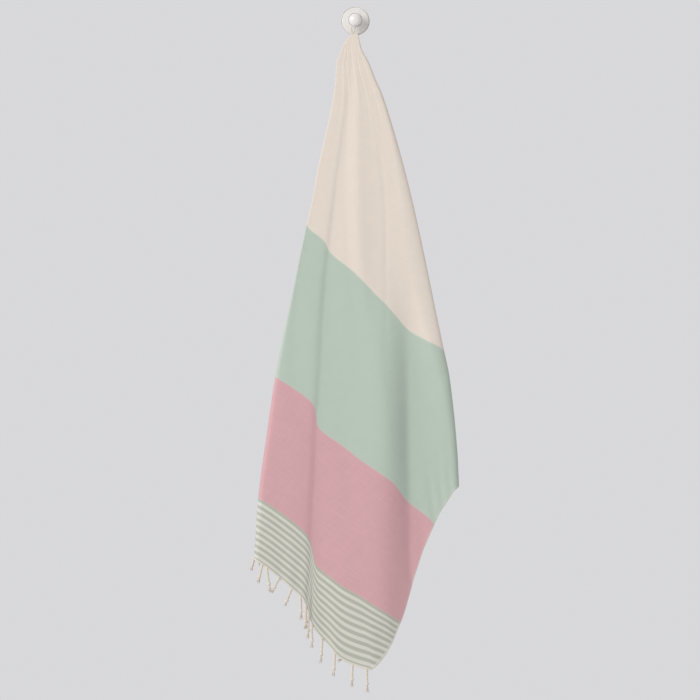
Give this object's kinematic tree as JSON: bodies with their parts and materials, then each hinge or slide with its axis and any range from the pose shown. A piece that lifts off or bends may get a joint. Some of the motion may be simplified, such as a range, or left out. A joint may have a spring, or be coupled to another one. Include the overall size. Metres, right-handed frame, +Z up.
{
  "type": "hammam towel on wall hook",
  "caption": "Flat-woven hammam towel with colour bands, a striped end and a tasselled fringe, hanging by its loop from a round white knob hook.",
  "frame": {"origin": "centre of the hook plate's flat back face, on the wall", "axes": "+Z up, along the hanging towel; +Y into the wall; the towel's front faces -Y; +X to the right seen from the front"},
  "size_m": [0.4172, 0.0583, 1.3615],
  "materials": {
    "towel_cotton": "matte",
    "fringe_yarn": "matte",
    "loop_cord": "matte",
    "hook_white": "gloss"
  },
  "bodies": {
    "root": {"towel": "towel_cotton", "fringe_front": "fringe_yarn", "fringe_back": "fringe_yarn", "hanging_loop": "loop_cord", "hook_plate": "hook_white", "hook_stem": "hook_white", "hook_knob": "hook_white"}
  },
  "joints": []
}
